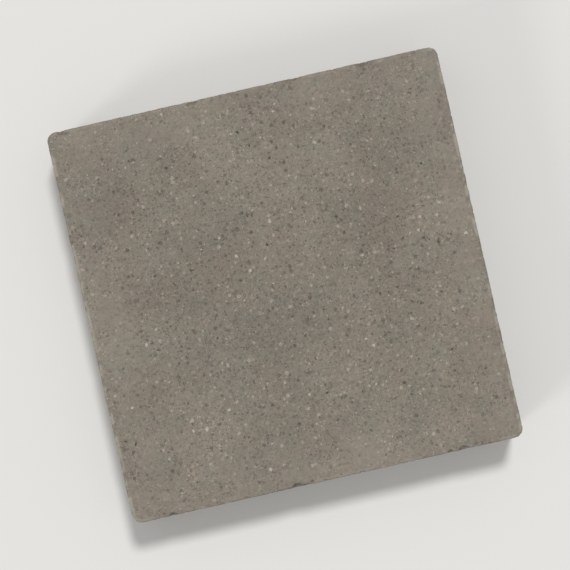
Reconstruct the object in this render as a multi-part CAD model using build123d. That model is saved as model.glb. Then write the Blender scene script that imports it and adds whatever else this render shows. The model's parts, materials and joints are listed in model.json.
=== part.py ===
from build123d import *
import os

# A square concrete paving stone for a 300 mm laying grid, cast in a mould as one piece.
# Its frame has the origin at the middle of the bedding face, +Z up to the walking face, and X and Y
# square to the sides. Lengths are in millimetres and angles in degrees.

# The laying grid
grid_pitch = 300.0  # from the middle of one stone to the middle of the next
joint_width = 3.0  # the gap that the spacer ribs keep open between two bodies

# The body
thickness = 50.0
corner_radius = 7.0  # the upright corners, where four stones meet in a star-shaped gap
arris_radius = 1.2  # the edge round the walking face, which has no chamfer

# The spacer ribs, upright on every side, which stop under the walking face so that the joint hides them
rib_width = 12.0  # along the side of the body
rib_run_out = 8.0  # the height over which a rib sinks back into the side
rib_below_face = 10.0  # from the walking face down to the top of the run-out
rib_from_grid_line = 75.0  # from the end of a side, on the grid, to the middle of the rib
rib_foot_depth = 0.5  # how far the run-out goes on inside the body

# Sizes that follow
body_side = grid_pitch - joint_width
side_face = body_side / 2  # from the middle to the flat of a side
rib_stand_out = joint_width / 2  # each stone brings half of the joint
rib_crest_radius = (rib_width**2 / 4 + rib_stand_out**2) / (2 * rib_stand_out)
rib_axis = side_face + rib_stand_out - rib_crest_radius  # from the middle of the stone
rib_offset = grid_pitch / 2 - rib_from_grid_line  # from the middle of the side, to both hands
rib_top = thickness - rib_below_face
rib_full_height = rib_top - rib_run_out

SIDES = 4
QUARTER_TURN = 360.0 / SIDES


def make_body():
    """The slab: a square with rounded upright corners and a slightly rounded walking edge."""
    outline = RectangleRounded(body_side, body_side, corner_radius)
    slab = extrude(outline, amount=thickness)
    walking_edge = slab.faces().sort_by(Axis.Z)[-1].edges()
    return fillet(walking_edge, arris_radius)


def make_spacer_rib():
    """One rib as a turned piece on its own axis: a round crest, and a cone where it runs out at the top."""
    slope = rib_stand_out / rib_run_out
    foot_radius = rib_crest_radius - rib_stand_out - rib_foot_depth
    foot_top = rib_top + rib_foot_depth / slope
    half_section = Polyline(
        (0, 0),
        (rib_crest_radius, 0),
        (rib_crest_radius, rib_full_height),
        (foot_radius, foot_top),
        (0, foot_top),
        close=True,
    )
    return revolve(Plane.XZ * make_face(half_section), axis=Axis.Z)


def place_spacer_ribs(rib):
    """A pair of ribs on each side, the same on all four, so that a stone can be laid any way round."""
    ribs = []
    for side in range(SIDES):
        turn = Rot(0, 0, side * QUARTER_TURN)
        for offset in (-rib_offset, rib_offset):
            ribs.append(turn * Pos(rib_axis, offset, 0) * rib)
    return ribs


def make_paving_stone():
    """The whole stone as one solid: body and ribs come out of the mould together."""
    return make_body() + place_spacer_ribs(make_spacer_rib())


os.makedirs("parts", exist_ok=True)
export_step(make_paving_stone(), "parts/paving_stone.step")
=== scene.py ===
"""A square concrete paving stone, dressed as worn concrete and set alone on a pale studio floor.

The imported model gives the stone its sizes. The mesh made here stands for it and carries what the model
leaves out: the sand grain, the pores, the crumbled edges and the traces of the mould on its sides.
Lengths are in metres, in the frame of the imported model.
"""

import json
import logging
import math
import random
from contextlib import contextmanager
from dataclasses import dataclass
from enum import Enum
from functools import cached_property, partial, reduce
from typing import Callable, Iterator

import bpy
import numpy as np
from mathutils import Euler, Matrix, Vector

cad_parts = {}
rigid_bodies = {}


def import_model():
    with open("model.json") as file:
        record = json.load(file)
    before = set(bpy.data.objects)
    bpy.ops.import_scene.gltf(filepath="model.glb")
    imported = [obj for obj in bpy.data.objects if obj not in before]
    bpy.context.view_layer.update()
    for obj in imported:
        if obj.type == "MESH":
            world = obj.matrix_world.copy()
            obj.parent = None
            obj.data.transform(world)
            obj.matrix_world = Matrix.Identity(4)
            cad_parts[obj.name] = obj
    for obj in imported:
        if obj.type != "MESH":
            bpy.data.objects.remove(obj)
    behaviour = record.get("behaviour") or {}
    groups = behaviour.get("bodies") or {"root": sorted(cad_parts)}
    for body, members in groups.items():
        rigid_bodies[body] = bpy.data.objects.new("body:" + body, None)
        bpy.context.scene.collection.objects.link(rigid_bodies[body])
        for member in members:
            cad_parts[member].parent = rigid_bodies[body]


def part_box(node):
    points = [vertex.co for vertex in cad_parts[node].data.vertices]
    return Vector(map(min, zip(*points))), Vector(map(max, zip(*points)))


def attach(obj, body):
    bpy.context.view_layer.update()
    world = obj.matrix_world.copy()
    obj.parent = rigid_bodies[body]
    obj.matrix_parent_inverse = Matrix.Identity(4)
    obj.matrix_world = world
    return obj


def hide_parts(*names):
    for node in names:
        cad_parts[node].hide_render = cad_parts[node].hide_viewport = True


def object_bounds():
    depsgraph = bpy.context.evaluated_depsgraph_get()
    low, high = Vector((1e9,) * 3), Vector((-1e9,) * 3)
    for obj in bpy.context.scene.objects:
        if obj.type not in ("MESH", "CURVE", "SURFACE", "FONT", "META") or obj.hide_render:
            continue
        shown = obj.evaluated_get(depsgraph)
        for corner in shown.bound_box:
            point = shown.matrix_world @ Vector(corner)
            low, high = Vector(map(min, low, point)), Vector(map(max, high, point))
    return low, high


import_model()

MODEL_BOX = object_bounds()
MM = 0.001

Piece = bpy.types.Object
Socket = bpy.types.NodeSocket
Colour = tuple[float, float, float, float]
# Where a value starts to ease, where it ends, and what it is eased from and to, or else 0 and 1.
Ease = tuple[float, ...]

# Dirt that has gathered in the pits, the pores and the older breaks, darkened further as painted shade.
DIRT_AND_SHADE: Colour = (0.06, 0.052, 0.042, 1.0)

log = logging.getLogger("paving_stone")


class Zone(Enum):
    """The parts of the stone's surface, each with a finish of its own from the mould and from wear."""

    WALKING = "walking"
    FLANK = "flank"
    BEDDING = "bedding"
    ARRIS = "arris"
    FOOT = "foot"


class Side(Enum):
    """The four sides, with the turn in degrees that brings the first one there."""

    EAST = 0
    NORTH = 90
    WEST = 180
    SOUTH = 270

    def turn(self) -> Matrix:
        """Make the turn that brings what is modelled for the east side to this one."""
        return Matrix.Rotation(math.radians(self.value), 4, "Z")


def pick(*pieces: Piece) -> None:
    """Select these pieces alone and make the last one active.

    Args:
        pieces: The pieces to select.
    """
    bpy.ops.object.select_all(action="DESELECT")
    for piece in pieces:
        piece.select_set(True)
        bpy.context.view_layer.objects.active = piece


@contextmanager
def editing(piece: Piece, element: str) -> Iterator[None]:
    """Open a piece in edit mode for the length of a with block.

    Args:
        piece: The piece to edit.
        element: What is selected by, VERT, EDGE or FACE.
    """
    pick(piece)
    bpy.ops.object.mode_set(mode="EDIT")
    bpy.ops.mesh.select_mode(type=element)
    try:
        yield
    finally:
        bpy.ops.object.mode_set(mode="OBJECT")


def select_parts(piece: Piece, element: str, wanted: Callable[[list[float]], bool]) -> None:
    """Leave only those edges or faces of a piece selected whose heights pass a test.

    Args:
        piece: The piece, in object mode.
        element: What is selected by, EDGE or FACE.
        wanted: Says of the heights of a part's corners whether it is selected.
    """
    with editing(piece, element):
        bpy.ops.mesh.select_all(action="DESELECT")
    mesh = piece.data
    for part in mesh.edges if element == "EDGE" else mesh.polygons:
        part.select = wanted([mesh.vertices[number].co.z for number in part.vertices])


def work_in(piece: Piece, kind: str, **settings: object) -> None:
    """Give a piece one modifier and apply it.

    Args:
        piece: The piece.
        kind: The modifier's type.
        settings: What is set on the modifier.
    """
    pick(piece)
    modifier = piece.modifiers.new(kind.lower(), kind)
    for name, value in settings.items():
        setattr(modifier, name, value)
    bpy.ops.object.modifier_apply(modifier=modifier.name)


def press_clouds(piece: Piece, grain: float, depth: float, **settings: object) -> None:
    """Displace a piece along its normals by a cloudy pattern.

    Args:
        piece: The piece.
        grain: The size of one cloud.
        depth: From the lowest to the highest point.
        settings: What else is set on the modifier.
    """
    texture = bpy.data.textures.new("clouds", "CLOUDS")
    texture.noise_scale = grain
    work_in(piece, "DISPLACE", texture=texture, strength=depth, **settings)
    bpy.data.textures.remove(texture)


def joined(pieces: list[Piece]) -> Piece:
    """Join pieces into one object.

    Args:
        pieces: The pieces to join.

    Returns:
        The object that holds them all.
    """
    pick(*pieces)
    bpy.ops.object.join()
    return bpy.context.object


def copied(piece: Piece, place: Matrix) -> Piece:
    """Copy a piece, mesh and all, and move the copy's mesh.

    Args:
        piece: The piece to copy.
        place: Where its mesh goes.

    Returns:
        The copy, with its object still at the origin.
    """
    twin = piece.copy()
    twin.data = piece.data.copy()
    twin.data.transform(place)
    bpy.context.collection.objects.link(twin)
    return twin


def gathered(
    parts: bpy.types.bpy_prop_collection, field: str, width: int = 3, kind: type = np.float32
) -> np.ndarray:
    """Read one field of all vertices, loops or faces of a mesh.

    Args:
        parts: The vertices, loops or faces.
        field: The field's name.
        width: How many numbers it holds.
        kind: The type of those numbers.

    Returns:
        An array with one row for each of them.
    """
    values = np.empty(len(parts) * width, kind)
    parts.foreach_get(field, values)
    return values.reshape(-1, width)


def ramp(values: np.ndarray, start: float, end: float) -> np.ndarray:
    """Ease from 0 at start to 1 at end, for each value."""
    share = np.clip((values - start) / (end - start), 0.0, 1.0)
    return share * share * (3.0 - 2.0 * share)


@dataclass(frozen=True)
class Relief:
    """One layer of unevenness, pressed into a zone along its normals.

    Attributes:
        grain: The size of one bump.
        depth: From the lowest to the highest point.
        zone: The part of the surface that it shows on.
        rest: The height that stays where it is, as a share of the depth.
        stretch: How much longer the bumps are upright than they are wide.
    """

    grain: float
    depth: float
    zone: Zone
    rest: float = 0.5
    stretch: float = 1.0

    def press(self, piece: Piece) -> None:
        """Displace the piece by this layer.

        Args:
            piece: The piece, with a vertex group for the zone.
        """
        stretcher = bpy.data.objects.new("stretcher", None)
        stretcher.scale = (1.0, 1.0, self.stretch)
        bpy.context.collection.objects.link(stretcher)
        bpy.context.view_layer.update()
        press_clouds(
            piece,
            self.grain,
            self.depth,
            texture_coords_object=stretcher,
            texture_coords="OBJECT",
            mid_level=self.rest,
            vertex_group=self.zone.value,
        )
        bpy.data.objects.remove(stretcher)


@dataclass(frozen=True)
class Damage:
    """A number of like bites that are broken or weathered out of the concrete.

    Attributes:
        count: How many there are.
        smallest: The radius of the smallest bite.
        largest: The radius of the largest bite.
        bite: The share of its radius that a bite reaches in.
        seed: Where its random numbers start.
        drawn_out: How much longer than wide a bite can be.
        spread: The least and the most that a bite's reach is multiplied by.
    """

    count: int
    smallest: float
    largest: float
    bite: float
    seed: int
    drawn_out: float = 1.0
    spread: tuple[float, float] = (0.5, 1.2)

    def radius(self, chance: random.Random) -> float:
        """Draw the radius of a bite, which is more often small than large."""
        return self.smallest + (self.largest - self.smallest) * chance.random() ** 2

    def lift(self, chance: random.Random, radius: float) -> float:
        """Draw how far outside the surface the middle of a bite lies."""
        return radius * (1 - self.bite * chance.uniform(*self.spread))

    def drawn(self, chance: random.Random, radius: float) -> Vector:
        """Draw the three radii of a bite that is longer along the edge than across it."""
        return Vector((radius, radius * chance.uniform(1.0, self.drawn_out), radius))


# The middle of a bite, its three radii, and the turn to its side.
Bite = tuple[Vector, Vector, Matrix]


@dataclass
class PavingStone:
    """The stone as one cast piece, from the smooth shape of the mould to its worn surface.

    Attributes:
        node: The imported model's node that the stone stands for.
        joint: How much wider the stone is over its ribs than over its flat sides.
        corner_radius: The rounding of the upright corners.
        arris_radius: The rounding of the walking edge.
        rib_width: The width of a rib where it meets the flat side.
        rib_run_out: The height over which a rib's top sinks back into the side.
        rib_below_face: How far below the walking face a rib ends.
        rib_from_grid_line: How far along its side a rib is from where the overall width ends.
        rib_foot_depth: How deep inside the side a rib's cone ends.
        corner_facets: How many faces round off an upright corner.
        arris_facets: How many faces round off the walking edge.
        rib_facets: How many faces go round the cylinder that a rib is a part of.
        edge_damage: The chips of the walking edge.
        foot_damage: The chips of the bottom edge.
        flank_pores: The pores of the sides.
        walking_pores: The pits of the walking face.
        nicks: The short nicks near the walking edge.
        nick_reach: How far from that edge a nick can lie.
        edge_lean: The least and the most slope, in degrees, from an edge out to a chip's middle.
        porous_share: The share of the sides' height, from the foot up, that has pores.
        low_down: How strongly the pores keep to the foot of the sides, from 1 for not at all.
        close_in: How strongly the nicks keep to the walking edge, from 1 for not at all.
        lump_relief: The width and the depth of the bumps on a lump of radius 1.
        lump_voxel: How finely the merged lumps are meshed.
        voxel: How finely the stone is meshed.
        relief: The unevenness of each zone.
        proud: How far the relief may stand out of the mould's face.
        zone_fade: How far one face's relief fades on either side of the line between two faces.
        arris_band: How far from the walking edge its zone starts to fade, and where it ends.
        foot_band: The same for the bottom edge.
        weight_steps: In how many steps a zone fades.
        bedding_skin: The height under which faces are merged more than the rest.
        bedding_merged: The share of all faces that is merged there.
        most_triangles: How many triangles the finished mesh may have.
        map_walking_share: The share of the colour map's width that the walking face takes.
        map_gap: The gap round each face in that map, as a share of its width.
    """

    node: str = "paving_stone"
    joint: float = 3.0 * MM
    corner_radius: float = 7.0 * MM
    arris_radius: float = 1.2 * MM
    rib_width: float = 12.0 * MM
    rib_run_out: float = 8.0 * MM
    rib_below_face: float = 10.0 * MM
    rib_from_grid_line: float = 75.0 * MM
    rib_foot_depth: float = 0.5 * MM
    corner_facets: int = 8
    arris_facets: int = 3
    rib_facets: int = 96
    edge_damage: tuple[Damage, ...] = (
        Damage(64, 1.3 * MM, 3.4 * MM, 1.05, 11, drawn_out=2.0),
        Damage(13, 3.0 * MM, 5.5 * MM, 0.60, 12, drawn_out=2.0),
    )
    foot_damage: tuple[Damage, ...] = (
        Damage(90, 1.8 * MM, 4.0 * MM, 0.60, 21, drawn_out=2.2),
        Damage(16, 4.0 * MM, 7.0 * MM, 0.40, 22, drawn_out=2.0),
    )
    flank_pores: tuple[Damage, ...] = (
        Damage(320, 0.9 * MM, 1.8 * MM, 1.20, 31),
        Damage(90, 1.6 * MM, 3.4 * MM, 0.80, 32),
    )
    walking_pores: tuple[Damage, ...] = (Damage(90, 0.9 * MM, 1.7 * MM, 1.00, 41),)
    nicks: tuple[Damage, ...] = (
        Damage(44, 0.9 * MM, 2.0 * MM, 0.90, 51, drawn_out=2.6, spread=(0.5, 1.0)),
    )
    nick_reach: float = 8.0 * MM
    edge_lean: tuple[float, float] = (15.0, 75.0)
    porous_share: float = 0.94
    low_down: float = 1.3
    close_in: float = 1.5
    lump_relief: tuple[tuple[float, float], ...] = ((1.1, 0.7), (0.45, 0.3))
    lump_voxel: float = 0.45 * MM
    voxel: float = 0.70 * MM
    relief: tuple[Relief, ...] = (
        Relief(90.0 * MM, 0.40 * MM, Zone.WALKING, rest=0.6),
        Relief(12.0 * MM, 0.20 * MM, Zone.WALKING, rest=0.6),
        Relief(2.8 * MM, 0.45 * MM, Zone.WALKING),
        Relief(14.0 * MM, 0.5 * MM, Zone.FLANK, rest=0.55),
        Relief(3.2 * MM, 1.2 * MM, Zone.FLANK, rest=0.48),
        Relief(1.8 * MM, 0.8 * MM, Zone.FLANK, stretch=16.0),
        Relief(14.0 * MM, 1.4 * MM, Zone.BEDDING),
        Relief(4.0 * MM, 2.2 * MM, Zone.BEDDING, rest=0.42),
        Relief(8.0 * MM, 0.7 * MM, Zone.ARRIS, rest=0.48),
        Relief(2.8 * MM, 0.9 * MM, Zone.ARRIS, rest=0.48),
        Relief(6.0 * MM, 3.0 * MM, Zone.FOOT, rest=0.45),
    )
    proud: float = 0.04 * MM
    zone_fade: float = 1.2 * MM
    arris_band: tuple[float, float] = (0.6 * MM, 2.2 * MM)
    foot_band: tuple[float, float] = (0.6 * MM, 2.8 * MM)
    weight_steps: int = 12
    bedding_skin: float = 2.0 * MM
    bedding_merged: float = 0.34
    most_triangles: int = 196_000
    map_walking_share: float = 0.722
    map_gap: float = 0.004

    def __post_init__(self) -> None:
        """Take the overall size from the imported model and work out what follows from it."""
        low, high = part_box(self.node)
        self.thickness = high.z - low.z
        grid_pitch = round((high.x - low.x) / MM) * MM
        self.half_side = (grid_pitch - self.joint) / 2
        self.rib_stand_out = self.joint / 2
        self.rib_crest_radius = (self.rib_width**2 / 4 + self.rib_stand_out**2) / (2 * self.rib_stand_out)
        self.rib_axis = self.half_side + self.rib_stand_out - self.rib_crest_radius
        self.rib_offset = grid_pitch / 2 - self.rib_from_grid_line

    def build(self) -> Piece:
        """Make the stone, from its cast shape to its finished mesh.

        Returns:
            The stone as one closed mesh.
        """
        stone = self.cast_body()
        self.cut(stone, self.cast_ribs(), "UNION")
        self.cut(stone, self.bites(), "DIFFERENCE")
        self.grain_over(stone)
        self.thin_out(stone)
        self.lay_out_map(stone)
        return stone

    def cast_body(self) -> Piece:
        """Model the slab, with its upright corners and its walking edge rounded.

        Returns:
            The slab as it leaves the mould, without its ribs.
        """
        size = (2 * self.half_side, 2 * self.half_side, self.thickness)
        bpy.ops.mesh.primitive_cube_add(size=1.0, location=(0, 0, self.thickness / 2), scale=size)
        body = bpy.context.object
        body.name = self.node + "_dressed"
        bpy.ops.object.transform_apply(location=True, rotation=True, scale=True)
        select_parts(body, "EDGE", lambda heights: max(heights) - min(heights) > MM)
        with editing(body, "EDGE"):
            bpy.ops.mesh.bevel(offset=self.corner_radius, segments=self.corner_facets, affect="EDGES")
        top = self.thickness - self.arris_radius / 2
        select_parts(body, "EDGE", lambda heights: min(heights) > top)
        with editing(body, "EDGE"):
            bpy.ops.mesh.bevel(offset=self.arris_radius, segments=self.arris_facets, affect="EDGES")
        return body

    def cast_ribs(self) -> Piece:
        """Model one spacer rib and set its copies, two on each side.

        Returns:
            All ribs as one object.
        """
        straight = self.thickness - self.rib_below_face - self.rib_run_out
        slope = self.rib_stand_out / self.rib_run_out
        foot_rise = self.rib_run_out + self.rib_foot_depth / slope
        foot_radius = self.rib_crest_radius - self.rib_stand_out - self.rib_foot_depth
        bpy.ops.mesh.primitive_cylinder_add(
            vertices=self.rib_facets,
            radius=self.rib_crest_radius,
            depth=straight,
            location=(0, 0, straight / 2),
        )
        rib = bpy.context.object
        bpy.ops.object.transform_apply(location=True, rotation=True, scale=True)
        select_parts(rib, "FACE", lambda heights: min(heights) > straight / 2)
        shrink = foot_radius / self.rib_crest_radius
        with editing(rib, "FACE"):
            bpy.ops.mesh.extrude_region_move(TRANSFORM_OT_translate={"value": (0, 0, foot_rise)})
            bpy.ops.transform.resize(value=(shrink, shrink, 1), center_override=(0, 0, straight + foot_rise))
        ribs = []
        for side in Side:
            for offset in (-self.rib_offset, self.rib_offset):
                ribs.append(copied(rib, side.turn() @ Matrix.Translation((self.rib_axis, offset, 0))))
        bpy.data.objects.remove(rib)
        return joined(ribs)

    def cut(self, stone: Piece, other: Piece, how: str) -> None:
        """Add another object to the stone or take it away, and drop that object.

        Args:
            stone: The stone so far.
            other: What is added or taken away.
            how: UNION or DIFFERENCE.
        """
        work_in(stone, "BOOLEAN", object=other, operation=how, solver="MANIFOLD")
        bpy.data.objects.remove(other)

    def lump(self) -> Piece:
        """Model the rough lump, of radius 1, that the bites are cut with.

        Returns:
            The lump, around the origin.
        """
        bpy.ops.mesh.primitive_ico_sphere_add(subdivisions=2, radius=1.0)
        lump = bpy.context.object
        for grain, depth in self.lump_relief:
            press_clouds(lump, grain, depth, texture_coords="LOCAL")
        return lump

    def bites(self) -> Piece:
        """Set all chips and pores where they are cut into the stone.

        Returns:
            One object of many rough lumps, merged where they overlap.
        """
        lump = self.lump()
        lumps = []
        for damages, spot in (
            (self.edge_damage, partial(self.across_edge, height=self.thickness)),
            (self.foot_damage, partial(self.across_edge, height=0.0)),
            (self.flank_pores, self.on_side),
            (self.walking_pores, self.on_walking_face),
            (self.nicks, self.near_arris),
        ):
            for damage in damages:
                lumps += self.scattered(lump, damage, spot)
        bpy.data.objects.remove(lump)
        merged = joined(lumps)
        work_in(merged, "REMESH", mode="VOXEL", voxel_size=self.lump_voxel)
        return merged

    def scattered(
        self, lump: Piece, damage: Damage, spot: Callable[[random.Random, Damage, float], Bite]
    ) -> list[Piece]:
        """Set a number of like bites, each turned at random.

        Args:
            lump: The lump of radius 1.
            damage: How many bites there are, and how large.
            spot: Draws where a bite of a given radius lies.

        Returns:
            The lumps.
        """
        chance = random.Random(damage.seed)
        lumps = []
        for _ in range(damage.count):
            place, size, turn = spot(chance, damage, damage.radius(chance))
            spin = Euler([chance.uniform(0, math.tau) for _ in range(3)]).to_matrix().to_4x4()
            piece = copied(lump, Matrix.Translation(place) @ Matrix.Diagonal(size).to_4x4() @ spin)
            piece.data.transform(turn)
            lumps.append(piece)
        return lumps

    def across_edge(self, chance: random.Random, damage: Damage, radius: float, height: float) -> Bite:
        """Draw a chip across the walking edge or the bottom edge.

        Args:
            chance: The random numbers to draw from.
            damage: What the chip is one of.
            radius: Its radius.
            height: The height of the edge.

        Returns:
            Its middle, its three radii, and the turn to its side.
        """
        upward = 1.0 if height > 0 else -1.0
        along = chance.uniform(-1, 1) * (self.half_side - self.corner_radius / 2)
        lean = math.radians(chance.uniform(*self.edge_lean))
        off = damage.lift(chance, radius)
        outside = self.half_side + math.cos(lean) * off
        place = Vector((outside, along, height + upward * math.sin(lean) * off))
        return place, damage.drawn(chance, radius), chance.choice(list(Side)).turn()

    def on_side(self, chance: random.Random, damage: Damage, radius: float) -> Bite:
        """Draw a pore of a side, more often low down, where the mix was pressed less.

        Args:
            chance: The random numbers to draw from.
            damage: What the pore is one of.
            radius: Its radius.

        Returns:
            Its middle, its three radii, and the turn to its side.
        """
        height = self.thickness * self.porous_share * chance.random() ** self.low_down
        along = chance.uniform(-1, 1) * (self.half_side - self.corner_radius)
        place = Vector((self.half_side + damage.lift(chance, radius), along, height))
        return place, Vector((radius, radius, radius)), chance.choice(list(Side)).turn()

    def on_walking_face(self, chance: random.Random, damage: Damage, radius: float) -> Bite:
        """Draw a pit of the walking face.

        Args:
            chance: The random numbers to draw from.
            damage: What the pit is one of.
            radius: Its radius.

        Returns:
            Its middle, its three radii, and no turn.
        """
        height = self.thickness + damage.lift(chance, radius)
        across = chance.uniform(-1, 1) * self.half_side
        along = chance.uniform(-1, 1) * self.half_side
        return Vector((across, along, height)), Vector((radius, radius, radius)), Matrix.Identity(4)

    def near_arris(self, chance: random.Random, damage: Damage, radius: float) -> Bite:
        """Draw a short nick of the walking face, drawn out along the edge that it is near.

        Args:
            chance: The random numbers to draw from.
            damage: What the nick is one of.
            radius: Its radius.

        Returns:
            Its middle, its three radii, and the turn to its side.
        """
        inward = self.nick_reach * chance.random() ** self.close_in
        along = chance.uniform(-1, 1) * (self.half_side - self.corner_radius)
        place = Vector((self.half_side - inward, along, self.thickness + damage.lift(chance, radius)))
        return place, damage.drawn(chance, radius), chance.choice(list(Side)).turn()

    def side_depth(self, places: np.ndarray) -> np.ndarray:
        """Measure how far places lie inside the upright sides, with their rounded corners.

        Args:
            places: One place a row.

        Returns:
            The depth of each place.
        """
        past = np.abs(places[:, :2]) - (self.half_side - self.corner_radius)
        round_corner = np.hypot(*np.maximum(past, 0.0).T)
        straight = np.minimum(past.max(axis=1), 0.0)
        return self.corner_radius - round_corner - straight

    def grain_over(self, stone: Piece) -> None:
        """Mesh the stone evenly and press every layer of relief into it.

        Args:
            stone: The stone with its ribs and bites.
        """
        work_in(stone, "REMESH", mode="VOXEL", voxel_size=self.voxel)
        self.keep_largest(stone)
        self.mark_zones(stone)
        smooth = gathered(stone.data.vertices, "co")
        outward = gathered(stone.data.vertices, "normal")
        for layer in self.relief:
            layer.press(stone)
        places = gathered(stone.data.vertices, "co")
        moved = ((places - smooth) * outward).sum(axis=1)
        past_mould = np.maximum(moved - self.proud, 0.0)
        places -= outward * past_mould[:, np.newaxis]
        self.keep(stone, "relief", (moved - past_mould) / MM)
        level = np.minimum(self.thickness - places[:, 2], places[:, 2])
        self.keep(stone, "broken", np.minimum(level, self.side_depth(places)) / MM)
        low, high = MODEL_BOX
        stone.data.vertices.foreach_set("co", np.clip(places, tuple(low), tuple(high)).ravel())
        stone.vertex_groups.clear()
        self.group(stone, Zone.BEDDING, (places[:, 2] < self.bedding_skin).astype(float))

    def keep_largest(self, stone: Piece) -> None:
        """Delete what the bites cut loose.

        Args:
            stone: The stone, evenly meshed.
        """
        top = int(np.argmax(gathered(stone.data.vertices, "co")[:, 2]))
        with editing(stone, "VERT"):
            bpy.ops.mesh.select_all(action="DESELECT")
        stone.data.vertices[top].select = True
        with editing(stone, "VERT"):
            bpy.ops.mesh.select_linked()
            bpy.ops.mesh.select_all(action="INVERT")
            bpy.ops.mesh.delete(type="VERT")

    def mark_zones(self, stone: Piece) -> None:
        """Give the stone a vertex group for each zone, faded where two zones meet.

        Args:
            stone: The stone, evenly meshed.
        """
        places = gathered(stone.data.vertices, "co")
        top = self.thickness - places[:, 2]
        bottom = places[:, 2]
        side = self.side_depth(places)
        from_arris = np.hypot(top, side)
        shares = {
            Zone.WALKING: 1 - ramp(top - np.minimum(side, bottom), -self.zone_fade, self.zone_fade),
            Zone.BEDDING: 1 - ramp(bottom - np.minimum(side, top), -self.zone_fade, self.zone_fade),
            Zone.ARRIS: 1 - ramp(from_arris, *self.arris_band),
            Zone.FOOT: 1 - ramp(np.hypot(bottom, side), *self.foot_band),
        }
        shares[Zone.FLANK] = 1 - np.maximum(shares[Zone.WALKING], shares[Zone.BEDDING])
        for zone, share in shares.items():
            self.group(stone, zone, share)
        self.keep(stone, "flank_share", shares[Zone.FLANK])
        self.keep(stone, "from_arris", from_arris / MM)

    def group(self, stone: Piece, zone: Zone, share: np.ndarray) -> None:
        """Make a zone's vertex group, in a few even steps.

        Args:
            stone: The stone.
            zone: The zone.
            share: The weight of each vertex.
        """
        group = stone.vertex_groups.new(name=zone.value)
        level = np.rint(share * self.weight_steps).astype(int)
        for step in range(1, self.weight_steps + 1):
            members = np.flatnonzero(level == step)
            if len(members):
                group.add(members.tolist(), step / self.weight_steps, "REPLACE")

    def keep(self, stone: Piece, name: str, values: np.ndarray) -> None:
        """Keep one number for each vertex, for the material to read."""
        layer = stone.data.attributes.new(name, "FLOAT", "POINT")
        layer.data.foreach_set("value", values.astype(np.float32))

    def thin_out(self, stone: Piece) -> None:
        """Merge small faces, most of them underneath, and keep them where the surface is broken.

        Args:
            stone: The stone with its full relief, and a vertex group for its bedding face.
        """
        work_in(stone, "DECIMATE", ratio=1.0 - self.bedding_merged, vertex_group=Zone.BEDDING.value)
        stone.vertex_groups.clear()
        triangles = sum(len(face.vertices) - 2 for face in stone.data.polygons)
        share = min(1.0, self.most_triangles / triangles)
        work_in(stone, "DECIMATE", ratio=share, use_collapse_triangulate=True)
        pick(stone)
        bpy.ops.object.shade_smooth()

    def lay_out_map(self, stone: Piece) -> None:
        """Lay each face of the stone flat in the map that its colours are baked through.

        The walking face is at the top left of the map, the east and west sides stand on its right, the
        other two lie below it, and the bedding face is small in the corner that is left.

        Args:
            stone: The finished mesh.
        """
        mesh = stone.data
        walking = self.map_walking_share
        corner = 1.0 - walking
        scale = (walking - 2 * self.map_gap) / (2 * self.half_side)
        small = (corner - 2 * self.map_gap) / (2 * self.half_side)
        strip = scale * self.thickness
        first_strip = self.map_gap + strip / 2
        second_strip = first_strip + strip + 2 * self.map_gap
        middle = corner + walking / 2
        x, y, z = range(3)
        islands = (
            (x, y, scale, walking / 2, middle),
            (x, y, small, walking + corner / 2, corner / 2),
            (z, y, scale, walking + first_strip, middle),
            (x, z, scale, walking / 2, first_strip),
            (z, y, scale, walking + second_strip, middle),
            (x, z, scale, walking / 2, second_strip),
        )
        east, north, up = gathered(mesh.polygons, "center").T
        half = self.half_side
        depths = (self.thickness - up, up, half - east, half - north, half + east, half + north)
        nearest = np.abs(np.stack(depths)).argmin(axis=0)
        loops = gathered(mesh.loops, "vertex_index", 1, np.int32).ravel()
        sizes = gathered(mesh.polygons, "loop_total", 1, np.int32).ravel()
        island_of = np.repeat(nearest, sizes)
        centred = gathered(mesh.vertices, "co")[loops] - np.float32([0.0, 0.0, self.thickness / 2])
        flat = np.zeros((len(loops), 2), np.float32)
        for number, (across, upright, size, left, bottom) in enumerate(islands):
            here = island_of == number
            flat[here, 0] = left + centred[here, across] * size
            flat[here, 1] = bottom + centred[here, upright] * size
        mesh.uv_layers.new(name="OFBake").data.foreach_set("uv", flat.ravel())


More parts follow.
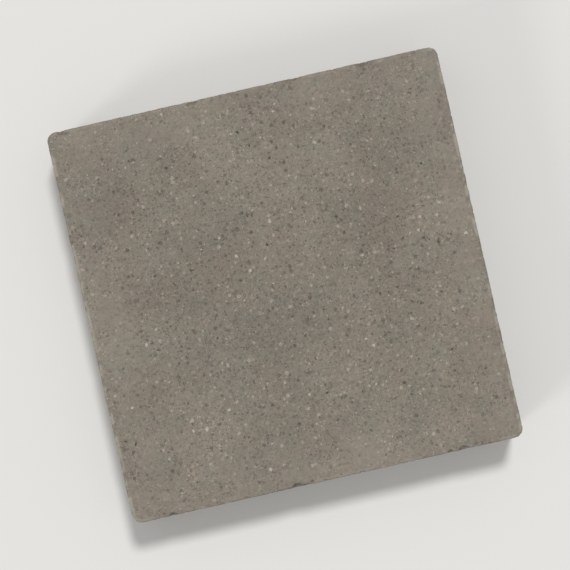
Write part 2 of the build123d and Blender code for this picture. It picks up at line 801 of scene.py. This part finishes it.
class NodeBench:
    """A node tree, with a short call for each kind of node that the finishes use."""

    def __init__(self, owner: bpy.types.ID) -> None:
        """Take the node tree of a material or a world, and empty it.

        Args:
            owner: The material or the world.
        """
        owner.use_nodes = True
        self.tree = owner.node_tree
        self.tree.nodes.clear()

    @cached_property
    def place(self) -> Socket:
        """Read the place on the object, in its own coordinates."""
        return self.add("TexCoord").outputs["Object"]

    def add(
        self, kind: str, inputs: dict[str | int, object] | None = None, **settings: object
    ) -> bpy.types.Node:
        """Add a node.

        Args:
            kind: The node's type, without its ShaderNode prefix.
            inputs: What goes into its sockets, each a plain value or the output of another node.
            settings: What is set on the node itself.

        Returns:
            The node.
        """
        node = self.tree.nodes.new("ShaderNode" + kind)
        for name, value in settings.items():
            setattr(node, name, value)
        for socket, value in (inputs or {}).items():
            if isinstance(value, Socket):
                self.tree.links.new(value, node.inputs[socket])
            else:
                node.inputs[socket].default_value = value
        return node

    def sum(self, operation: str, *values: object) -> Socket:
        """Work out one Math node from its inputs in order."""
        return self.add("Math", dict(enumerate(values)), operation=operation).outputs[0]

    def times(self, *values: object) -> Socket:
        """Multiply values with each other."""
        return reduce(partial(self.sum, "MULTIPLY"), values)

    def span(self, value: Socket, start: float, end: float, low: float = 0.0, high: float = 1.0) -> Socket:
        """Ease a value from one range to another.

        Args:
            value: The value.
            start: Where the first range starts.
            end: Where it ends.
            low: What start becomes.
            high: What end becomes.

        Returns:
            The value in the second range, never outside it.
        """
        inputs = dict(enumerate((value, start, end, low, high)))
        return self.add("MapRange", inputs, interpolation_type="SMOOTHSTEP").outputs[0]

    def mix(self, share: object, first: object, second: object, blend: str = "MIX") -> Socket:
        """Mix two colours.

        Args:
            share: How much of the second one there is.
            first: The first colour.
            second: The second colour.
            blend: The kind of mixing.

        Returns:
            The mixed colour.
        """
        # The node has sockets for numbers and vectors too, so its colours are picked by their place.
        inputs = {"Factor": share, 6: first, 7: second}
        return self.add("Mix", inputs, data_type="RGBA", blend_type=blend).outputs[2]

    def number(self, name: str) -> Socket:
        """Read a number that the mesh keeps for each vertex."""
        return self.add("Attribute", attribute_name=name).outputs["Fac"]

    def moved(
        self, place: Socket, offset: tuple[float, float, float], turn: float = 0.0, stretch: float = 1.0
    ) -> Socket:
        """Move, turn and stretch a pattern by its coordinates.

        Args:
            place: The coordinates.
            offset: How far the pattern is moved.
            turn: How far it is turned about the upright axis, in degrees.
            stretch: How much longer it gets along X, before it is turned.

        Returns:
            The new coordinates.
        """
        inputs = {
            "Vector": place,
            "Location": offset,
            "Rotation": (0.0, 0.0, math.radians(turn)),
            "Scale": (stretch, 1.0, 1.0),
        }
        return self.add("Mapping", inputs, vector_type="TEXTURE").outputs[0]

    def noise(self, place: Socket, size: float, detail: float, rough: float = 0.5) -> bpy.types.Node:
        """Lay a cloudy pattern.

        Args:
            place: The coordinates.
            size: How wide one cloud is.
            detail: How often finer clouds are laid over it.
            rough: How strong the finer clouds are.

        Returns:
            The node, whose values lie about one half.
        """
        inputs = {"Vector": place, "Scale": 1.0 / size, "Detail": detail, "Roughness": rough}
        return self.add("TexNoise", inputs)

    def cells(self, place: Socket, size: float) -> tuple[Socket, Socket, Socket, Socket]:
        """Lay a pattern of grains.

        Args:
            place: The coordinates.
            size: How far apart the grains are.

        Returns:
            How far a place is from the middle of its grain, and three random values for each grain.
        """
        node = self.add("TexVoronoi", {"Vector": place, "Scale": 1.0 / size})
        chances = self.add("SeparateColor", {0: node.outputs["Color"]}).outputs
        return node.outputs["Distance"], chances[0], chances[1], chances[2]

    def outward(self) -> tuple[Socket, Socket]:
        """Measure how far a place is from the middle of the object, along X and along Y."""
        parts = self.add("SeparateXYZ", {0: self.place}).outputs
        return self.sum("ABSOLUTE", parts[0]), self.sum("ABSOLUTE", parts[1])


@dataclass(frozen=True)
class Patches:
    """A soft pattern of patches, eased from one value to another.

    Attributes:
        size: How wide a patch is.
        detail: How often finer patches are laid over the first.
        rough: How strong the finer patches are.
        ease: How the pattern, which goes from 0 to 1, becomes the value.
        offset: How far the pattern is moved.
        turn: How far it is turned about the upright axis, in degrees.
        stretch: How much longer than wide a patch is.
    """

    size: float
    detail: float
    rough: float
    ease: Ease
    offset: tuple[float, float, float] = (0.0, 0.0, 0.0)
    turn: float = 0.0
    stretch: float = 1.0

    def laid(self, bench: NodeBench) -> Socket:
        """Lay the pattern over the whole object."""
        place = bench.moved(bench.place, self.offset, self.turn, self.stretch)
        return bench.span(bench.noise(place, self.size, self.detail, self.rough).outputs[0], *self.ease)


@dataclass(frozen=True)
class Specks:
    """Small specks, scattered far apart.

    Attributes:
        colour: Their colour.
        strength: How much of that colour they have.
        spacing: How far apart the places are where a speck may lie.
        radius: The radius of the largest speck.
        rarity: The share of those places that stay empty.
        offset: How far the pattern is moved.
        smallest: The radius of the smallest speck, as a share of the largest one's.
        rim: How soft their outlines are, by the distance from the middle in radii.
    """

    colour: Colour
    strength: float
    spacing: float
    radius: float
    rarity: float
    offset: tuple[float, float, float] = (0.0, 0.0, 0.0)
    smallest: float = 0.4
    rim: Ease = (1.1, 0.7)

    def laid(self, bench: NodeBench, place: Socket) -> Socket:
        """Scatter the specks.

        Args:
            bench: The node tree.
            place: The coordinates.

        Returns:
            How much of their colour there is.
        """
        far, chance, girth, _ = bench.cells(bench.moved(place, self.offset), self.spacing)
        largest = self.radius / self.spacing
        reach = bench.sum("MULTIPLY_ADD", girth, (1.0 - self.smallest) * largest, self.smallest * largest)
        inside = bench.span(bench.sum("DIVIDE", far, reach), *self.rim)
        return bench.times(inside, bench.sum("GREATER_THAN", chance, self.rarity), self.strength)


@dataclass(frozen=True)
class Sieve:
    """One size of the sand in the concrete.

    Attributes:
        spacing: How far apart its grains lie.
        contrast: How much paler or darker than the paste its grains are, at most.
        gleam: How much paler still its few clear quartz grains are.
        gloom: How much darker still its few black grains are.
        tint: How much warmer or cooler than the paste its grains are, at most.
        height: How far its grains stand out of the paste, or 0 where that is too little to show.
        radii: The radius of the smallest and the largest grain, as shares of the spacing.
        rim: How soft their outlines are, by the depth inside a grain as a share of the spacing.
        clear: Between which shares of all grains, from dark to pale, they turn to clear quartz.
        black: Between which shares they turn to black.
        flattest: How high the darkest grains are, as a share of the palest ones' height.
    """

    spacing: float
    contrast: float
    gleam: float
    gloom: float
    tint: float
    height: float
    radii: tuple[float, float] = (0.26, 0.54)
    rim: Ease = (-0.06, 0.10)
    clear: Ease = (0.93, 0.99)
    black: Ease = (0.10, 0.03)
    flattest: float = 0.4

    def sprinkled(self, bench: NodeBench, place: Socket) -> tuple[Socket, Socket, Socket]:
        """Sprinkle the grains over the paste.

        Args:
            bench: The node tree.
            place: The coordinates.

        Returns:
            What the grains add to the tone, their height from 0 to 1, and what they add to the warmth.
        """
        far, chance, girth, kind = bench.cells(place, self.spacing)
        smallest, largest = self.radii
        radius = bench.sum("MULTIPLY_ADD", girth, largest - smallest, smallest)
        inside = bench.span(bench.sum("SUBTRACT", radius, far), *self.rim)
        shade = bench.sum("MULTIPLY_ADD", chance, 2 * self.contrast, -self.contrast)
        gleam = bench.span(chance, *self.clear, 0.0, self.gleam)
        gloom = bench.span(chance, *self.black, 0.0, -self.gloom)
        change = bench.times(inside, bench.sum("ADD", bench.sum("ADD", shade, gleam), gloom))
        dome = bench.times(inside, bench.sum("MULTIPLY_ADD", chance, 1.0 - self.flattest, self.flattest))
        tint = bench.times(inside, bench.sum("MULTIPLY_ADD", kind, 2 * self.tint, -self.tint))
        return change, dome, tint


@dataclass(frozen=True)
class WearAndPaintedLight:
    """What is broken out of the stone and what is rubbed off it, as colours over the sound surface.

    The breaks at the walking edge are pale on the east and west sides, with a painted highlight as if
    those sides were lit, and dark on the other two, dirt with painted shade as if those sides were in
    shade. Short lengths of the edge are worn pale with a painted highlight, stronger on the east and west
    sides, and the crests of the ribs are worn pale with a painted highlight. Depths inside the mould's
    face and distances from the walking edge are in millimetres.

    Attributes:
        fresh_and_highlight: The colour of what is worn or freshly broken, and of the painted highlights
            along the walking edge, on the rib crests and in the chips of the east and west sides.
        dirt_and_shade: The colour of the older breaks and of the inside of the pores: dirt, with painted
            shade.
        sides: Where the other two sides change to the east and west ones, by how much nearer those are; the
            east and west sides are painted as lit and the other two as shaded.
        rubbed_highlight: The lengths of the edge that are worn pale and carry a painted highlight.
        rubbed_highlight_line: How far from the edge they are worn pale and highlighted.
        rubbed_highlight_sides: How pale they are, from the other two sides to the east and west ones, where
            more painted highlight falls as if those sides were lit.
        crest: How pale what stands out of the flat side is, by its depth: the crests of the ribs are worn
            pale, with a painted highlight.
        edge: How far from the edge a break counts as a chip.
        chip: How strong a chip's colour is, by its depth.
        chip_sides: How strong it is, from the other two sides to the east and west ones; a chip is dark with
            painted shade on the former and pale with a painted highlight on the latter.
        pore: How strong the dark colour of the other breaks is, by their depth: dirt with painted shade,
            darker deeper in.
    """

    # Worn and freshly broken concrete, also used as the painted highlight.
    fresh_and_highlight: Colour = (0.355, 0.32, 0.27, 1.0)
    # Dirt with painted shade, for the older breaks and the pores.
    dirt_and_shade: Colour = DIRT_AND_SHADE
    # The east and west sides are painted as lit, the north and south sides as shaded.
    sides: Ease = (-20 * MM, 20 * MM)
    # A pale line along the walking edge: wear with a painted highlight, stronger on the lit east and west
    # sides.
    rubbed_highlight: Patches = Patches(15 * MM, 2.0, 0.6, (0.44, 0.56))
    rubbed_highlight_line: Ease = (3.4, 1.6)
    rubbed_highlight_sides: Ease = (0.0, 1.0, 0.25, 0.85)
    # Painted highlight on the crests of the ribs, which are also worn.
    crest: Ease = (-0.7, -1.5, 0.0, 0.45)
    edge: Ease = (6.0, 1.5)
    chip: Ease = (0.25, 0.9)
    # Chips are painted pale as lit on the east and west sides and dark as shaded on the other two.
    chip_sides: Ease = (0.0, 1.0, 0.3, 0.6)
    # Painted shade with dirt inside the deeper breaks.
    pore: Ease = (0.5, 1.6, 0.0, 0.55)

    def over(self, bench: NodeBench, colour: Socket) -> Socket:
        """Lay what is broken and worn, with its painted highlight and painted shade, over the sound surface.

        Args:
            bench: The node tree.
            colour: The colour of the sound surface.

        Returns:
            The colour with what is broken and worn, and with its painted highlight and painted shade.
        """
        broken = bench.number("broken")
        from_arris = bench.number("from_arris")
        # 1 on the east and west sides, painted as lit, and 0 on the north and south sides, painted as
        # shaded.
        lit_east_west = bench.span(bench.sum("SUBTRACT", *bench.outward()), *self.sides)
        # Wear and painted highlight along the walking edge.
        line = bench.times(
            bench.span(from_arris, *self.rubbed_highlight_line),
            self.rubbed_highlight.laid(bench),
            bench.span(lit_east_west, *self.rubbed_highlight_sides),
        )
        # Painted highlight on the rib crests.
        crest = bench.span(broken, *self.crest)
        colour = bench.mix(bench.sum("MAXIMUM", line, crest), colour, self.fresh_and_highlight)
        edge = bench.span(from_arris, *self.edge)
        chip = bench.times(bench.span(broken, *self.chip), edge, bench.span(lit_east_west, *self.chip_sides))
        # Chips: freshly broken and pale with a painted highlight on the east and west sides, dark with dirt
        # and painted shade on the other two.
        colour = bench.mix(chip, colour, bench.mix(lit_east_west, self.dirt_and_shade, self.fresh_and_highlight))
        # Dirt with painted shade inside the deeper breaks and pores.
        pore = bench.times(bench.span(broken, *self.pore), bench.sum("SUBTRACT", 1.0, edge))
        return bench.mix(pore, colour, self.dirt_and_shade)


@dataclass(frozen=True)
class ConcreteFinish:
    """Pressed concrete, worn until its sand shows, as a material.

    Attributes:
        paste: The colour of the cement paste away from the edges.
        margin_paste: Its colour in the margin along the sides.
        margin: How far in from the sides the margin starts, and where it is full.
        wander: How wide the bends in the margin's inner line are, and how far they reach.
        quartz: The pale specks.
        shaded_pits: Small dark specks, the painted shade of pits that are not in the mesh, with dirt.
        sieves: The sizes of sand that show, from coarse to fine.
        crooked: How wide the bends in the outlines of the grains are, and how far they reach.
        rosy: The patches where the concrete is warmer or cooler.
        less_blue: How much of the warmth is taken from the blue.
        mottle: The wide pale and dark patches.
        cloud: The small ones.
        hollow_shade_and_dirt: How dark the hollows of the relief are, painted shade and dirt, by their
            height in millimetres.
        rim: How dark the outermost ring is, a painted shade along the walking edge, by the distance from
            that edge in millimetres.
        pasty: The patches of the margin where less of the sand shows.
        exposed: How much of the sand shows, from outside those patches to inside.
        streak: The lines that may be scratches.
        scratched: Where they are, and how pale.
        wear_and_painted_light: What is broken and worn, with the painted highlight and painted shade that go
            with it.
        polish: How rough the surface is, by its tone.
        gloss: How strongly it shines.
        side_bump: How far the grains stand out, from the two faces to the sides.
        broken_bump: How far they stand out of a break, by its depth in millimetres.
    """

    paste: Colour = (0.228, 0.201, 0.162, 1.0)
    margin_paste: Colour = (0.246, 0.2155, 0.176, 1.0)
    margin: tuple[float, float] = (50 * MM, 5 * MM)
    wander: tuple[float, float] = (45 * MM, 50 * MM)
    quartz: Specks = Specks((0.50, 0.47, 0.41, 1.0), 0.8, 10 * MM, 1.5 * MM, 0.92)
    # Dark specks of painted shade, with dirt, for pits that are not in the mesh.
    shaded_pits: Specks = Specks(DIRT_AND_SHADE, 0.6, 5 * MM, 0.8 * MM, 0.88, offset=(0.37, 0.61, 0.23))
    sieves: tuple[Sieve, ...] = (
        Sieve(3.2 * MM, 0.28, 0.30, 0.10, 0.07, 0.18 * MM),
        Sieve(1.6 * MM, 0.29, 0.44, 0.12, 0.08, 0.32 * MM),
        Sieve(0.8 * MM, 0.22, 0.25, 0.08, 0.0, 0.0),
    )
    crooked: tuple[float, float] = (1.1 * MM, 1.2 * MM)
    rosy: Patches = Patches(26 * MM, 2.0, 0.5, (0.3, 0.7, -0.022, 0.022), (0.7, 0.2, 0.4))
    less_blue: float = 0.15
    mottle: Patches = Patches(60 * MM, 2.0, 0.6, (0.25, 0.75, 0.905, 1.08))
    cloud: Patches = Patches(5 * MM, 1.0, 0.6, (0.25, 0.75, 0.94, 1.04))
    # Painted shade and dirt in the hollows of the relief.
    hollow_shade_and_dirt: Ease = (-0.45, 0.0, 0.86, 1.01)
    # Painted shade along the outermost ring of the walking face.
    rim: Ease = (2.0, 12.0, 0.972, 1.0)
    pasty: Patches = Patches(24 * MM, 1.0, 0.5, (0.40, 0.58), (0.3, 0.5, 0.1))
    exposed: Ease = (0.0, 1.0, 1.04, 0.60)
    streak: Patches = Patches(1.6 * MM, 0.0, 0.5, (0.74, 0.82), (0.13, 0.26, 0.0), 54.0, 40.0)
    scratched: Patches = Patches(40 * MM, 0.0, 0.5, (0.50, 0.62, 0.0, 0.38))
    # What is broken and worn, with its painted highlight and painted shade.
    wear_and_painted_light: WearAndPaintedLight = WearAndPaintedLight()
    polish: Ease = (0.7, 1.5, 0.95, 0.72)
    gloss: float = 0.3
    side_bump: Ease = (0.0, 1.0, 1.0, 0.85)
    broken_bump: Ease = (0.3, 1.0, 1.0, 1.5)

    def material(self, stone: PavingStone) -> bpy.types.Material:
        """Build the material.

        Args:
            stone: The stone, for the place of its sides.

        Returns:
            The material.
        """
        material = bpy.data.materials.new("worn_concrete")
        bench = NodeBench(material)
        grain_place = self.bent(bench)
        margin = self.along_sides(bench, stone)
        flank = bench.number("flank_share")
        sand = 0.0
        rise = 0.0
        warmth = self.rosy.laid(bench)
        for sieve in self.sieves:
            change, dome, tint = sieve.sprinkled(bench, grain_place)
            sand = bench.sum("ADD", sand, change)
            warmth = bench.sum("ADD", warmth, tint)
            if sieve.height > 0:
                rise = bench.sum("MULTIPLY_ADD", dome, sieve.height / MM, rise)
        exposed = bench.span(bench.times(self.pasty.laid(bench), margin), *self.exposed)
        tone = bench.times(
            bench.sum("MULTIPLY_ADD", sand, exposed, 1.0),
            self.mottle.laid(bench),
            self.cloud.laid(bench),
            # Painted shade and dirt in the hollows of the relief.
            bench.span(bench.number("relief"), *self.hollow_shade_and_dirt),
            # Painted shade along the walking edge.
            bench.span(bench.number("from_arris"), *self.rim),
        )
        colour = bench.mix(margin, self.paste, self.margin_paste)
        colour = bench.mix(1.0, colour, self.tinted(bench, tone, warmth), "MULTIPLY")
        off_flank = bench.sum("SUBTRACT", 1.0, flank)
        scratch = bench.times(self.streak.laid(bench), self.scratched.laid(bench), off_flank)
        colour = bench.mix(scratch, colour, self.wear_and_painted_light.fresh_and_highlight)
        # Pale quartz specks, and dark specks of painted shade and dirt for pits.
        for specks in (self.quartz, self.shaded_pits):
            colour = bench.mix(specks.laid(bench, grain_place), colour, specks.colour)
        broken = bench.span(bench.number("broken"), *self.broken_bump)
        height = bench.times(rise, exposed, bench.span(flank, *self.side_bump), broken)
        bump = bench.add("Bump", {"Strength": 1.0, "Distance": 1.0 * MM, "Height": height})
        look = {
            "Base Color": self.wear_and_painted_light.over(bench, colour),
            "Roughness": bench.span(tone, *self.polish),
            "Specular IOR Level": self.gloss,
            "Normal": bump.outputs[0],
        }
        bench.add("OutputMaterial", {"Surface": bench.add("BsdfPrincipled", look).outputs[0]})
        return material

    def bent(self, bench: NodeBench) -> Socket:
        """Bend the coordinates a little, so that no grain comes out round.

        Args:
            bench: The node tree.

        Returns:
            The bent coordinates.
        """
        size, reach = self.crooked
        waves = bench.noise(bench.place, size, 0.0).outputs["Color"]
        centred = bench.add("VectorMath", {0: waves, 1: (0.5, 0.5, 0.5)}, operation="SUBTRACT")
        inputs = {0: centred.outputs[0], 1: (reach, reach, reach), 2: bench.place}
        return bench.add("VectorMath", inputs, operation="MULTIPLY_ADD").outputs[0]

    def along_sides(self, bench: NodeBench, stone: PavingStone) -> Socket:
        """Find the margin that runs inside the four sides.

        Args:
            bench: The node tree.
            stone: The stone, for the place of its sides.

        Returns:
            1 at the sides, which fades to 0 further in.
        """
        size, reach = self.wander
        start, full = self.margin
        waves = bench.sum("SUBTRACT", bench.noise(bench.place, size, 2.0).outputs[0], 0.5)
        out = bench.sum("MULTIPLY_ADD", waves, reach, bench.sum("MAXIMUM", *bench.outward()))
        return bench.span(out, stone.half_side - start, stone.half_side - full)

    def tinted(self, bench: NodeBench, tone: Socket, warmth: Socket) -> Socket:
        """Turn a brightness into a nearly grey colour.

        Args:
            bench: The node tree.
            tone: The brightness, about 1.
            warmth: How much redder it is, about 0.

        Returns:
            The colour.
        """
        red = bench.sum("MULTIPLY_ADD", tone, warmth, tone)
        blue = bench.sum("MULTIPLY_ADD", bench.times(tone, -self.less_blue), warmth, tone)
        return bench.add("CombineColor", {0: red, 1: tone, 2: blue}).outputs[0]


@dataclass(frozen=True)
class StudioFloor:
    """The plain pale floor that the stone lies on.

    Attributes:
        colour: The floor's own colour.
        backdrop: The colour that it fades to far away, which is the world's too.
        reach: How far it stretches from the middle.
        facets: How many straight pieces its outline has.
        below: How far it lies under the bedding face.
        fade: Where it starts to fade into the backdrop, and where it is gone.
    """

    colour: Colour = (0.748, 0.738, 0.719, 1.0)
    backdrop: Colour = (0.78, 0.77, 0.75, 1.0)
    reach: float = 9.0
    facets: int = 96
    below: float = 0.05 * MM
    fade: Ease = (0.45, 1.6)

    def build(self) -> Piece:
        """Lay the floor.

        Returns:
            The floor.
        """
        bpy.ops.mesh.primitive_circle_add(
            vertices=self.facets, radius=self.reach, fill_type="NGON", location=(0, 0, -self.below)
        )
        floor = bpy.context.object
        floor.name = "studio_floor"
        bpy.ops.object.transform_apply(location=True, rotation=True, scale=True)
        floor.data.materials.append(self.material())
        return floor

    def material(self) -> bpy.types.Material:
        """Build the floor's material, which fades to the backdrop far away.

        Returns:
            The material.
        """
        material = bpy.data.materials.new("pale_floor")
        bench = NodeBench(material)
        far = bench.add("VectorMath", {0: bench.place}, operation="LENGTH").outputs["Value"]
        shown = bench.times(bench.span(far, *self.fade), bench.add("LightPath").outputs["Is Camera Ray"])
        matt = bench.add("BsdfDiffuse", {"Color": self.colour})
        glow = bench.add("Emission", {"Color": self.backdrop})
        either = bench.add("MixShader", {0: shown, 1: matt.outputs[0], 2: glow.outputs[0]})
        bench.add("OutputMaterial", {"Surface": either.outputs[0]})
        return material


@dataclass(frozen=True)
class Lamp:
    """One soft lamp, so far off that it lights the floor evenly.

    Attributes:
        name: What it is called.
        comes_from: The direction that its light comes from.
        strength: How strong it is.
        spread: How wide it looks from the stone, in degrees, which softens its shadows.
    """

    name: str
    comes_from: tuple[float, float, float]
    strength: float
    spread: float

    def hang(self) -> None:
        """Set the lamp up."""
        light = bpy.data.lights.new(self.name, "SUN")
        light.energy = self.strength
        light.angle = math.radians(self.spread)
        lamp = bpy.data.objects.new(self.name, light)
        lamp.rotation_euler = Vector(self.comes_from).to_track_quat("Z", "Y").to_euler()
        bpy.context.collection.objects.link(lamp)


@dataclass
class Studio:
    """The soft light round the stone, and the camera above it.

    Attributes:
        floor: The floor under the stone.
        sky: The colour of the light that comes from all round.
        sky_strength: How strong it is.
        lamps: The lamps.
        camera_height: How high the camera hangs.
        frame_width: How much of the floor it sees from side to side.
        film_width: The width of its film, in millimetres.
        stone_turn: How far the stone is turned in the picture, in degrees counter-clockwise.
    """

    floor: StudioFloor = StudioFloor()
    sky: Colour = (1.0, 1.0, 1.0, 1.0)
    sky_strength: float = 0.44
    lamps: tuple[Lamp, ...] = (
        Lamp("key_lamp", (0.22, 0.52, 1.00), 1.80, 10.0),
        Lamp("side_lamp", (-0.85, -0.42, 0.45), 0.8, 16.0),
    )
    camera_height: float = 1.27
    frame_width: float = 0.44
    film_width: float = 36.0
    stone_turn: float = 12.82

    def build(self) -> None:
        """Set up the floor, the light and the camera."""
        self.floor.build()
        self.light_world()
        for lamp in self.lamps:
            lamp.hang()
        self.set_camera()

    def light_world(self) -> None:
        """Fill the room with an even pale light, and show the backdrop's colour behind it."""
        world = bpy.data.worlds.new("studio_sky")
        bpy.context.scene.world = world
        bench = NodeBench(world)
        fill = bench.add("Background", {"Color": self.sky, "Strength": self.sky_strength})
        shown = bench.add("Background", {"Color": self.floor.backdrop})
        seen = bench.add("LightPath").outputs["Is Camera Ray"]
        either = bench.add("MixShader", {0: seen, 1: fill.outputs[0], 2: shown.outputs[0]})
        bench.add("OutputWorld", {"Surface": either.outputs[0]})

    def set_camera(self) -> None:
        """Look straight down, with the stone turned as it is in the photograph."""
        data = bpy.data.cameras.new("camera")
        data.sensor_width = self.film_width
        data.lens = self.film_width * self.camera_height / self.frame_width
        camera = bpy.data.objects.new("camera", data)
        camera.location = (0, 0, self.camera_height)
        camera.rotation_euler = (0, 0, -math.radians(self.stone_turn))
        bpy.context.collection.objects.link(camera)
        bpy.context.scene.camera = camera
        bpy.context.scene.view_settings.view_transform = "Standard"


def main() -> None:
    """Build the stone and the studio, and report each piece."""
    logging.basicConfig(level=logging.INFO, format="%(name)s: %(message)s")
    design = PavingStone()
    stone = design.build()
    stone.data.materials.clear()
    stone.data.materials.append(ConcreteFinish().material(design))
    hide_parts(design.node)
    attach(stone, "root")
    log.info("%s: %d faces", stone.name, len(stone.data.polygons))
    Studio().build()
    log.info("studio: floor, lamps and camera")


if __name__ == "__main__":
    main()
